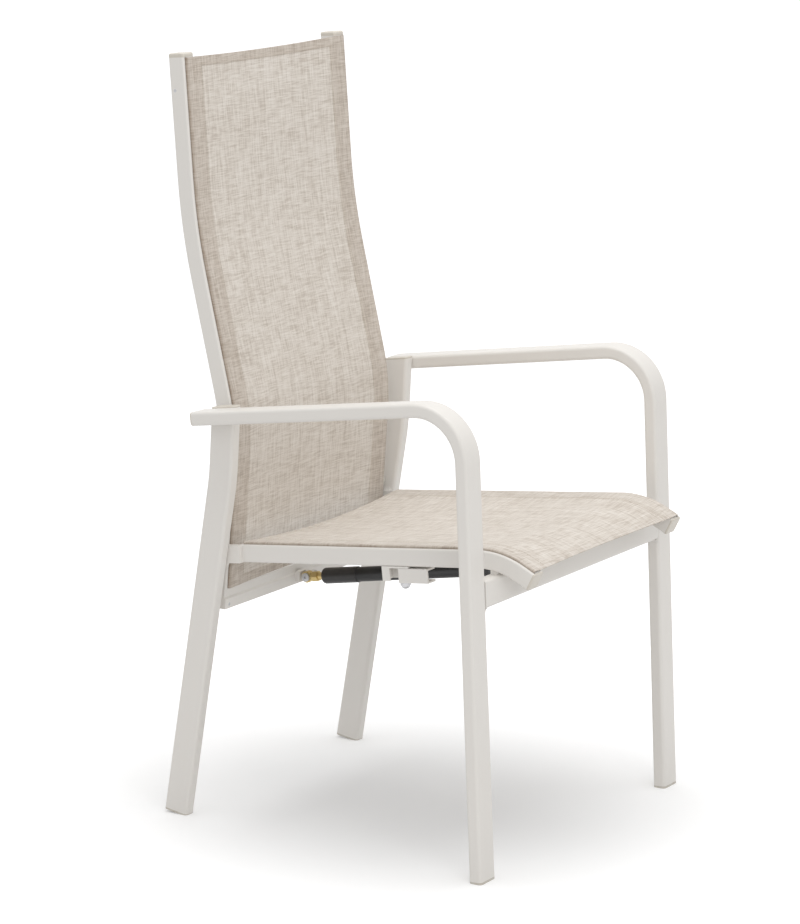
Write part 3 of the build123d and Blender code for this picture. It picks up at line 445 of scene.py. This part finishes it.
def stitches(name, here, way, side, settings):
    """Rows of stitches as one mesh. Each is a bead along its way: rings whose radius follows the square root
    of a sine from end to end, and whose middle stands on the sheet and dips at both ends."""
    steps = np.linspace(0, 1, BEAD_RINGS)
    around = np.linspace(0, 2 * np.pi, RING_POINTS + 1)[:-1]
    up = np.cross(way, side)
    up /= np.linalg.norm(up, axis=1)[:, None]
    run = (steps - 0.5) * settings.stitch_pitch * BEAD_LENGTH_SHARE
    inside = np.clip(steps, BEAD_END_SHARE, 1 - BEAD_END_SHARE)
    radius = settings.stitch_thread / 2 * np.sqrt(np.sin(np.pi * inside))
    lift = settings.stitch_thread * (BEAD_LIFT_SHARE - BEAD_DIP_SHARE * (2 * steps - 1) ** 4)
    centre = here[:, None] + way[:, None] * run[None, :, None] + up[:, None] * lift[None, :, None]
    ring = side[:, None] * np.cos(around)[None, :, None] + up[:, None] * np.sin(around)[None, :, None]
    points = centre[:, :, None] + ring[:, None] * radius[None, :, None, None]
    first = np.arange(len(here))[:, None] * BEAD_RINGS * RING_POINTS
    i, j = np.arange(BEAD_RINGS - 1)[None, :, None], np.arange(RING_POINTS)[None, None, :]
    k = (j + 1) % RING_POINTS
    low = first[:, :, None] + i * RING_POINTS
    high = low + RING_POINTS
    quads = np.stack([low + j, low + k, high + k, high + j], -1)
    mesh = bpy.data.meshes.new(name)
    near = first + np.arange(RING_POINTS)[::-1][None, :]
    far = first + (BEAD_RINGS - 1) * RING_POINTS + np.arange(RING_POINTS)[None, :]
    faces = quads.reshape(-1, 4).tolist() + near.tolist() + far.tolist()
    mesh.from_pydata(points.reshape(-1, 3), [], faces)
    mesh.shade_smooth()
    return mesh


def side_rows(sling, inset, pitch):
    """A row of stitches down each side of a sling, at an inset from its channels."""
    gap = SEAM_END_GAP / sling.line.length
    share = np.arange(gap, 1 - gap, pitch / sling.line.length)
    x = np.repeat([-(sling.slot - inset), sling.slot - inset], len(share))
    here, across, along = sling.on_face(x, np.tile(share, 2))
    return here, along, across


def end_rows(sling, inset, pitch, ends):
    """A row of stitches across each named end of a sling, at an inset from its edge."""
    reach = sling.inner - SEAM_SIDE_GAP
    x = np.arange(-reach, reach, pitch)
    share = np.concatenate([np.full(len(x), abs(end - inset / sling.line.length)) for end in ends])
    here, across, along = sling.on_face(np.tile(x, len(ends)), share)
    return here, across, along


def sew(name, sling, body, settings, ends, extra_row):
    """All the stitching of one sling as one piece. The extra row lies nearer the edge of its last end."""
    pitch = settings.stitch_pitch
    rows = [side_rows(sling, settings.side_hem - SIDE_SEAM_INSET, pitch)]
    rows.append(end_rows(sling, settings.end_hem - END_SEAM_INSET, pitch, ends))
    if extra_row:
        rows.append(end_rows(sling, settings.end_hem - FRONT_SEAM_INSET, pitch, ends[-1:]))
    here, way, side = (np.concatenate(parts) for parts in zip(*rows))
    mesh = stitches(name, here, way, side, settings)
    return place_piece(name, mesh, body, finish("sewing_thread"))


# Materials

def node(tree, kind, inputs=None, **settings):
    """Adds a node, sets its settings, and sets or links each named input."""
    made = tree.nodes.new(kind)
    for key, value in settings.items():
        setattr(made, key, value)
    for key, value in (inputs or {}).items():
        socket = made.inputs[key]
        if isinstance(value, bpy.types.NodeSocket):
            tree.links.new(value, socket)
        else:
            socket.default_value = value
    return made


def math_node(tree, operation, *values):
    """One Math node with its values or sockets in order."""
    return node(tree, "ShaderNodeMath", dict(enumerate(values)), operation=operation).outputs[0]


def mix_colour(tree, factor, first, second, blend="MIX"):
    """One colour Mix node."""
    made = node(tree, "ShaderNodeMix", data_type="RGBA", blend_type=blend)
    for socket, value in zip((made.inputs[0], made.inputs[6], made.inputs[7]), (factor, first, second)):
        if isinstance(value, bpy.types.NodeSocket):
            tree.links.new(value, socket)
        else:
            socket.default_value = value if isinstance(value, (int, float)) else (*value, 1.0)
    return made.outputs[2]


def new_group(name, inputs, outputs):
    """An empty shader node group with its sockets."""
    group = bpy.data.node_groups.new(name, "ShaderNodeTree")
    for label, kind, default in inputs:
        socket = group.interface.new_socket(name=label, in_out="INPUT", socket_type=kind)
        if default is not None:
            socket.default_value = default
    for label, kind in outputs:
        group.interface.new_socket(name=label, in_out="OUTPUT", socket_type=kind)
    return group, group.nodes.new("NodeGroupInput"), group.nodes.new("NodeGroupOutput")


def aged_surface_group():
    """Group for a plain surface: fine bumps, an uneven gloss and a little dust where a broad noise is high
    and near the floor."""
    group, given, result = new_group("aged_surface", [
        ("Color", "NodeSocketColor", (0.8, 0.8, 0.8, 1)), ("Dust", "NodeSocketColor", (0.5, 0.45, 0.4, 1)),
        ("Dust Amount", "NodeSocketFloat", 0.1), ("Roughness", "NodeSocketFloat", 0.4),
        ("Gloss Change", "NodeSocketFloat", 0.06), ("Grain Size", "NodeSocketFloat", 0.001)],
        [("Color", "NodeSocketColor"), ("Roughness", "NodeSocketFloat"), ("Height", "NodeSocketFloat")])
    place = node(group, "ShaderNodeTexCoord").outputs["Object"]
    broad = node(group, "ShaderNodeTexNoise", {"Vector": place, "Scale": 9.0, "Detail": 4.0,
                                               "Roughness": 0.6}).outputs[0]
    speck = node(group, "ShaderNodeTexNoise", {"Vector": place, "Scale": 140.0, "Detail": 3.0}).outputs[0]
    patch = node(group, "ShaderNodeMapRange", {"Value": broad, "From Min": 0.48, "From Max": 0.78}).outputs[0]
    fleck = node(group, "ShaderNodeMapRange", {"Value": speck, "From Min": 0.40, "From Max": 0.80}).outputs[0]
    height = node(group, "ShaderNodeSeparateXYZ", {"Vector": place}).outputs[2]
    low = node(group, "ShaderNodeMapRange", {"Value": height, "From Min": 0.05, "From Max": 0.0}).outputs[0]
    dust = math_node(group, "ADD", math_node(group, "MULTIPLY", patch, fleck),
                     math_node(group, "MULTIPLY", low, fleck))
    dusted = math_node(group, "MULTIPLY", dust, given.outputs["Dust Amount"])
    tint = mix_colour(group, dusted, given.outputs["Color"], given.outputs["Dust"])
    group.links.new(tint, result.inputs["Color"])
    uneven = math_node(group, "SUBTRACT", broad, NOISE_MEAN)
    swing = math_node(group, "MULTIPLY", uneven, given.outputs["Gloss Change"])
    duller = math_node(group, "ADD", swing, math_node(group, "MULTIPLY", dusted, DUST_DULLING))
    rough = math_node(group, "ADD", given.outputs["Roughness"], duller)
    group.links.new(rough, result.inputs["Roughness"])
    scale = math_node(group, "DIVIDE", 1.0, given.outputs["Grain Size"])
    grain = node(group, "ShaderNodeTexNoise", {"Vector": place, "Scale": scale, "Detail": 2.0}).outputs[0]
    group.links.new(grain, result.inputs["Height"])
    return group


def slub_group():
    """Group for irregular yarns: a noise squeezed across the yarn and drawn out along it, so that each yarn
    changes its tone slowly along its run. The output is centred on zero."""
    group, given, result = new_group("yarn_slubs", [
        ("Across", "NodeSocketFloat", 0.0), ("Along", "NodeSocketFloat", 0.0),
        ("Yarn Width", "NodeSocketFloat", 0.0013), ("Run", "NodeSocketFloat", 0.03),
        ("Seed", "NodeSocketFloat", 0.0)],
        [("Tone", "NodeSocketFloat")])
    across = math_node(group, "DIVIDE", given.outputs["Across"], given.outputs["Yarn Width"])
    along = math_node(group, "DIVIDE", given.outputs["Along"], given.outputs["Run"])
    place = node(group, "ShaderNodeCombineXYZ", {"X": across, "Y": along,
                                                 "Z": given.outputs["Seed"]}).outputs[0]
    noise = node(group, "ShaderNodeTexNoise", {"Vector": place, "Scale": 1.0, "Detail": 1.0,
                                               "Roughness": 0.4}).outputs[0]
    group.links.new(math_node(group, "SUBTRACT", noise, NOISE_MEAN), result.inputs["Tone"])
    return group


GROUPS = {"aged_surface": aged_surface_group, "yarn_slubs": slub_group}


def group_node(tree, name, inputs):
    """Places a shared group, built the first time that it is asked for."""
    made = tree.nodes.new("ShaderNodeGroup")
    made.node_tree = bpy.data.node_groups.get(name) or GROUPS[name]()
    for key, value in inputs.items():
        socket = made.inputs[key]
        if isinstance(value, bpy.types.NodeSocket):
            tree.links.new(value, socket)
        else:
            socket.default_value = (*value, 1.0) if isinstance(value, (tuple, list)) else value
    return made


def new_material(name):
    """An empty node material with its shader."""
    material = bpy.data.materials.new(name)
    material.use_nodes = True
    tree = material.node_tree
    tree.nodes.clear()
    shader = tree.nodes.new("ShaderNodeBsdfPrincipled")
    end = tree.nodes.new("ShaderNodeOutputMaterial")
    tree.links.new(shader.outputs[0], end.inputs["Surface"])
    return material, tree, shader


def plain_finish(name, base, dust, dust_amount, roughness, gloss_change, grain, bump, **fixed):
    """A coat, moulding or metal with the shared aged surface."""
    material, tree, shader = new_material(name)
    aged = group_node(tree, "aged_surface", {
        "Color": tuple(base), "Dust": tuple(dust), "Dust Amount": dust_amount, "Roughness": roughness,
        "Gloss Change": gloss_change, "Grain Size": grain})
    tree.links.new(aged.outputs["Color"], shader.inputs["Base Color"])
    tree.links.new(aged.outputs["Roughness"], shader.inputs["Roughness"])
    bumps = node(tree, "ShaderNodeBump", {"Height": aged.outputs["Height"], "Strength": bump,
                                          "Distance": BUMP_DEPTH})
    tree.links.new(bumps.outputs[0], shader.inputs["Normal"])
    for key, value in fixed.items():
        shader.inputs[key.replace("_", " ")].default_value = value
    return material


def woven_finish(colours):
    """Woven sling: warp and weft slubs in three tones, a plain weave of round yarns with painted shade in the
    gaps between them, darker hems, and painted shade where the sheet folds over its channels.
    """
    material, tree, shader = new_material("woven_sling")
    weave_map = node(tree, "ShaderNodeUVMap", uv_map="weave").outputs[0]
    where = node(tree, "ShaderNodeSeparateXYZ", {"Vector": weave_map})
    u, v = where.outputs[0], where.outputs[1]
    hem = node(tree, "ShaderNodeAttribute", attribute_name="hem").outputs["Fac"]
    fold = node(tree, "ShaderNodeAttribute", attribute_name="fold").outputs["Fac"]

    def slubs(across, along, width, run, seed):
        return group_node(tree, "yarn_slubs", {"Across": across, "Along": along, "Yarn Width": width,
                                               "Run": run, "Seed": seed}).outputs[0]

    fine, wide, broad = (math_node(tree, "ADD", slubs(u, v, *warp), slubs(v, u, *weft))
                         for warp, weft in (FINE_SLUBS, WIDE_SLUBS, BROAD_SLUBS))
    gain = math_node(tree, "ADD", 1.0, math_node(tree, "MULTIPLY", hem, HEM_FINE_GAIN))
    coarse = math_node(tree, "ADD", math_node(tree, "MULTIPLY", wide, WIDE_SHARE),
                       math_node(tree, "MULTIPLY", broad, BROAD_SHARE))
    tone = math_node(tree, "ADD", math_node(tree, "MULTIPLY", fine, gain), coarse)
    tone = math_node(tree, "ADD", tone, NOISE_MEAN)
    ramp = node(tree, "ShaderNodeValToRGB", {"Fac": tone})
    ramp.color_ramp.elements[0].position = DARK_TONE
    ramp.color_ramp.elements[0].color = (*colours.yarn_dark, 1)
    ramp.color_ramp.elements[1].position = LIGHT_TONE
    ramp.color_ramp.elements[1].color = (*colours.yarn_light, 1)
    middle = ramp.color_ramp.elements.new(MIDDLE_TONE)
    middle.color = (*colours.yarn_middle, 1)
    wave_u = math_node(tree, "SINE", math_node(tree, "MULTIPLY", u, math.pi / YARN_PITCH))
    wave_v = math_node(tree, "SINE", math_node(tree, "MULTIPLY", v, math.pi / YARN_PITCH))
    weave = math_node(tree, "MULTIPLY", wave_u, wave_v)
    # Painted shade: the colour darkens in the gaps between the round yarns, where shade falls.
    gap = math_node(tree, "MULTIPLY", math_node(tree, "SUBTRACT", 1.0, math_node(tree, "ABSOLUTE", wave_u)),
                    math_node(tree, "SUBTRACT", 1.0, math_node(tree, "ABSOLUTE", wave_v)))
    hole_shade_share = math_node(tree, "MULTIPLY", gap, HOLE_SHADE_STRENGTH)
    hole_shaded = mix_colour(tree, hole_shade_share, ramp.outputs[0], HOLE_SHADE_TINT)
    hem_share = math_node(tree, "MULTIPLY", hem, HEM_STRENGTH)
    hemmed = mix_colour(tree, hem_share, hole_shaded, HEM_TINT, "MULTIPLY")
    # Painted shade where the sheet folds over its channel.
    fold_shade_share = math_node(tree, "MULTIPLY", fold, FOLD_SHADE_STRENGTH)
    shaded = mix_colour(tree, fold_shade_share, hemmed, FOLD_SHADE_TINT, "MULTIPLY")
    tree.links.new(shaded, shader.inputs["Base Color"])
    bumps = node(tree, "ShaderNodeBump", {"Height": weave, "Strength": 0.35, "Distance": WEAVE_DEPTH})
    tree.links.new(bumps.outputs[0], shader.inputs["Normal"])
    shader.inputs["Roughness"].default_value = 0.72
    shader.inputs["Specular IOR Level"].default_value = 0.3
    shader.inputs["Sheen Weight"].default_value = 0.08
    shader.inputs["Sheen Roughness"].default_value = 0.5
    return material


def make_finishes(c):
    """Every finish of the chair, by name."""
    dust = tuple(c.coat_dust)
    steel = {"Metallic": 1.0}
    plain_finish("powder_coat", c.coat, dust,
                 dust_amount=0.05, roughness=0.42, gloss_change=0.10, grain=0.0011, bump=0.10,
                 Specular_IOR_Level=0.45)
    plain_finish("cream_moulding", c.cap, dust,
                 dust_amount=0.12, roughness=0.38, gloss_change=0.08, grain=0.0008, bump=0.12)
    plain_finish("worn_glide", c.glide, dust,
                 dust_amount=0.75, roughness=0.58, gloss_change=0.12, grain=0.0007, bump=0.30)
    plain_finish("channel_cord", c.cord, dust,
                 dust_amount=0.10, roughness=0.50, gloss_change=0.05, grain=0.0006, bump=0.15)
    plain_finish("black_coat", c.black_coat, DARK_DUST,
                 dust_amount=0.10, roughness=0.34, gloss_change=0.10, grain=0.0009, bump=0.10)
    plain_finish("black_moulding", c.black_plastic, DARK_DUST,
                 dust_amount=0.12, roughness=0.30, gloss_change=0.08, grain=0.0006, bump=0.12)
    plain_finish("yellow_zinc", c.yellow_zinc, YELLOW_DUST,
                 dust_amount=0.45, roughness=0.36, gloss_change=0.20, grain=0.0008, bump=0.20, **steel)
    plain_finish("bright_zinc", c.bright_zinc, METAL_DUST,
                 dust_amount=0.30, roughness=0.34, gloss_change=0.18, grain=0.0008, bump=0.18, **steel)
    plain_finish("polished_rod", ROD_STEEL, METAL_DUST,
                 dust_amount=0.08, roughness=0.14, gloss_change=0.05, grain=0.0008, bump=0.05, **steel)
    plain_finish("nylon", c.nylon, dust,
                 dust_amount=0.10, roughness=0.46, gloss_change=0.06, grain=0.0007, bump=0.15)
    plain_finish("sewing_thread", c.thread, dust,
                 dust_amount=0.20, roughness=0.65, gloss_change=0.05, grain=0.0003, bump=0.30)
    woven_finish(c)


def finish(name):
    """The finish of that name."""
    return bpy.data.materials[name]


SLOT_FINISH = {
    "frame_coat": "powder_coat", "sling_fabric": "woven_sling", "keder_cord": "channel_cord",
    "cap_plastic": "cream_moulding", "glide_plastic": "worn_glide", "spring_coat": "black_coat",
    "sleeve_plastic": "black_moulding", "rod_steel": "polished_rod", "yellow_zinc": "yellow_zinc",
    "bright_zinc": "bright_zinc", "spacer_nylon": "nylon",
}


def seen_rays(tree):
    """1 for what the camera sees, straight or through gloss and glass, and 0 for light on the chair."""
    light = tree.nodes.new("ShaderNodeLightPath")
    indirect = math_node(tree, "MAXIMUM", light.outputs["Is Glossy Ray"],
                         light.outputs["Is Transmission Ray"])
    return math_node(tree, "MAXIMUM", light.outputs["Is Camera Ray"], indirect)


# Operators

class ARMCHAIR_OT_finishes(bpy.types.Operator):
    """Builds the finishes and gives each frame piece its own"""

    bl_idname = "armchair.finishes"
    bl_label = "Finishes"

    def execute(self, context):
        make_finishes(context.scene.armchair_finishes)
        slots = {s["node"]: s["material_slot"] for s in frame["record"]["subparts"]}
        for name, piece in frame["nodes"].items():
            piece.data.materials.clear()
            piece.data.materials.append(finish(SLOT_FINISH[slots[name]]))
        return {"FINISHED"}


class ARMCHAIR_OT_seat_sling(bpy.types.Operator):
    """Adds the seat sling with its hems and stitching"""

    bl_idname = "armchair.seat_sling"
    bl_label = "Seat sling"

    def execute(self, context):
        s = context.scene.armchair_slings
        sling = Sling(seat_line(), SEAT_OUTER, -1, s.seat_sag, s.seat_hollow, s.seat_band, s)
        cover = place_piece("seat_cover", sling.shell("seat_cover"), "chair_frame",
                            finish("woven_sling"), ["seat_sling"])
        seams = sew("seat_stitching", sling, "chair_frame", s, (0, 1), True)
        return {"FINISHED"}


class ARMCHAIR_OT_back_sling(bpy.types.Operator):
    """Adds the back sling with its hems and stitching"""

    bl_idname = "armchair.back_sling"
    bl_label = "Back sling"

    def execute(self, context):
        s = context.scene.armchair_slings
        sling = Sling(back_line(), BACK_OUTER, 1, s.back_sag, s.back_hollow, s.back_band, s)
        cover = place_piece("back_cover", sling.shell("back_cover"), "backrest",
                            finish("woven_sling"), ["back_sling"])
        seams = sew("back_stitching", sling, "backrest", s, (0, 1), False)
        return {"FINISHED"}


class ARMCHAIR_OT_stage(bpy.types.Operator):
    """Adds the floor, the lamps, the world and the camera"""

    bl_idname = "armchair.stage"
    bl_label = "Stage"

    def execute(self, context):
        s = context.scene.armchair_stage
        self.floor(s)
        self.world(context.scene, s)
        self.lamp("top_lamp", power=s.top_lamp, **TOP_LAMP)
        self.lamp("side_lamp", power=s.side_lamp, **SIDE_LAMP)
        self.camera(context.scene, s)
        context.scene.view_settings.view_transform = "Standard"
        return {"FINISHED"}

    def floor(self, s):
        """A disc on the floor, white to the camera far from the chair. Its glow, seen only by the camera, is
        weak near the chair and full far away, so it paints the floor darker round the chair as painted shade
        besides its real shadow.
        """
        ring = np.linspace(0, 2 * np.pi, FLOOR_CORNERS + 1)[:-1]
        radius = np.array([FLOOR_HOLE, FLOOR_RADIUS])[:, None]
        points = np.stack([radius * np.cos(ring), radius * np.sin(ring), 0 * radius * ring], -1)
        mesh = grid_mesh("floor", np.concatenate([points, points[:, :1]], 1))
        material, tree, shader = new_material("pale_floor")
        shader.inputs["Base Color"].default_value = (*s.floor, 1)
        shader.inputs["Roughness"].default_value = 0.9
        shader.inputs["Specular IOR Level"].default_value = 0.1
        seen = seen_rays(tree)
        place = node(tree, "ShaderNodeTexCoord").outputs["Object"]
        away = node(tree, "ShaderNodeVectorMath", {0: place}, operation="LENGTH").outputs["Value"]
        # Painted shade: the glow is weakest near the chair and grows with distance from it.
        lift = node(tree, "ShaderNodeMapRange", {
            "Value": away, "From Min": FLOOR_DARK_REACH, "From Max": s.floor_reach,
            "To Min": s.floor_lift, "To Max": FLOOR_WHITE_LIFT}, interpolation_type="SMOOTHSTEP")
        shader.inputs["Emission Color"].default_value = (1, 1, 1, 1)
        tree.links.new(math_node(tree, "MULTIPLY", seen, lift.outputs[0]), shader.inputs["Emission Strength"])
        mesh.materials.append(material)
        piece = bpy.data.objects.new("floor", mesh)
        bpy.context.scene.collection.objects.link(piece)

    def world(self, scene, s):
        """Even light from all round, white where it is seen."""
        world = bpy.data.worlds.new("studio")
        world.use_nodes = True
        tree = world.node_tree
        tree.nodes.clear()
        seen = seen_rays(tree)
        strength = math_node(tree, "ADD", s.world, math_node(tree, "MULTIPLY", seen, 1.0 - s.world))
        sky = node(tree, "ShaderNodeBackground", {"Color": (1, 1, 1, 1), "Strength": strength})
        end = tree.nodes.new("ShaderNodeOutputWorld")
        tree.links.new(sky.outputs[0], end.inputs["Surface"])
        scene.world = world

    def lamp(self, name, place, target, size, power):
        """A soft square lamp that faces a point."""
        data = bpy.data.lights.new(name, "AREA")
        data.energy = power
        data.size = size
        lamp = bpy.data.objects.new(name, data)
        lamp.location = place
        lamp.rotation_euler = (Vector(target) - Vector(place)).to_track_quat("-Z", "Y").to_euler()
        bpy.context.scene.collection.objects.link(lamp)

    def camera(self, scene, s):
        """The camera at the photograph's place and angle."""
        data = bpy.data.cameras.new("camera")
        data.sensor_fit = "HORIZONTAL"
        data.sensor_width = SENSOR_WIDTH
        data.lens = s.camera_lens
        data.clip_end = VIEW_REACH
        a, e = s.camera_turn, s.camera_tilt
        right = Vector((math.cos(a), math.sin(a), 0))
        back = Vector((math.sin(a) * math.cos(e), -math.cos(a) * math.cos(e), math.sin(e)))
        turn = Matrix((right, back.cross(right), back)).transposed().to_4x4()
        camera = bpy.data.objects.new("camera", data)
        camera.matrix_world = Matrix.Translation(s.camera_place) @ turn
        bpy.context.scene.collection.objects.link(camera)
        scene.camera = camera


class ARMCHAIR_PT_panel(bpy.types.Panel):
    """Lists the steps that dress the chair"""

    bl_label = "Armchair"
    bl_idname = "ARMCHAIR_PT_panel"
    bl_space_type = "VIEW_3D"
    bl_region_type = "UI"
    bl_category = "Armchair"

    def draw(self, context):
        for step in STEPS:
            self.layout.operator(step.bl_idname)


STEPS = (ARMCHAIR_OT_finishes, ARMCHAIR_OT_seat_sling, ARMCHAIR_OT_back_sling, ARMCHAIR_OT_stage)
SETTINGS = {"armchair_slings": SlingSettings, "armchair_finishes": FinishSettings,
            "armchair_stage": StageSettings}


def register():
    """Registers the settings, the operators and the panel."""
    for made in (*SETTINGS.values(), *STEPS, ARMCHAIR_PT_panel):
        bpy.utils.register_class(made)
    for name, kind in SETTINGS.items():
        setattr(bpy.types.Scene, name, PointerProperty(type=kind))


def unregister():
    """Takes them away again."""
    for name in SETTINGS:
        delattr(bpy.types.Scene, name)
    for made in (ARMCHAIR_PT_panel, *reversed(STEPS), *reversed(SETTINGS.values())):
        bpy.utils.unregister_class(made)


def main():
    """Dresses the chair."""
    register()
    bpy.ops.armchair.finishes()
    bpy.ops.armchair.seat_sling()
    bpy.ops.armchair.back_sling()
    bpy.ops.armchair.stage()


if __name__ == "__main__":
    main()
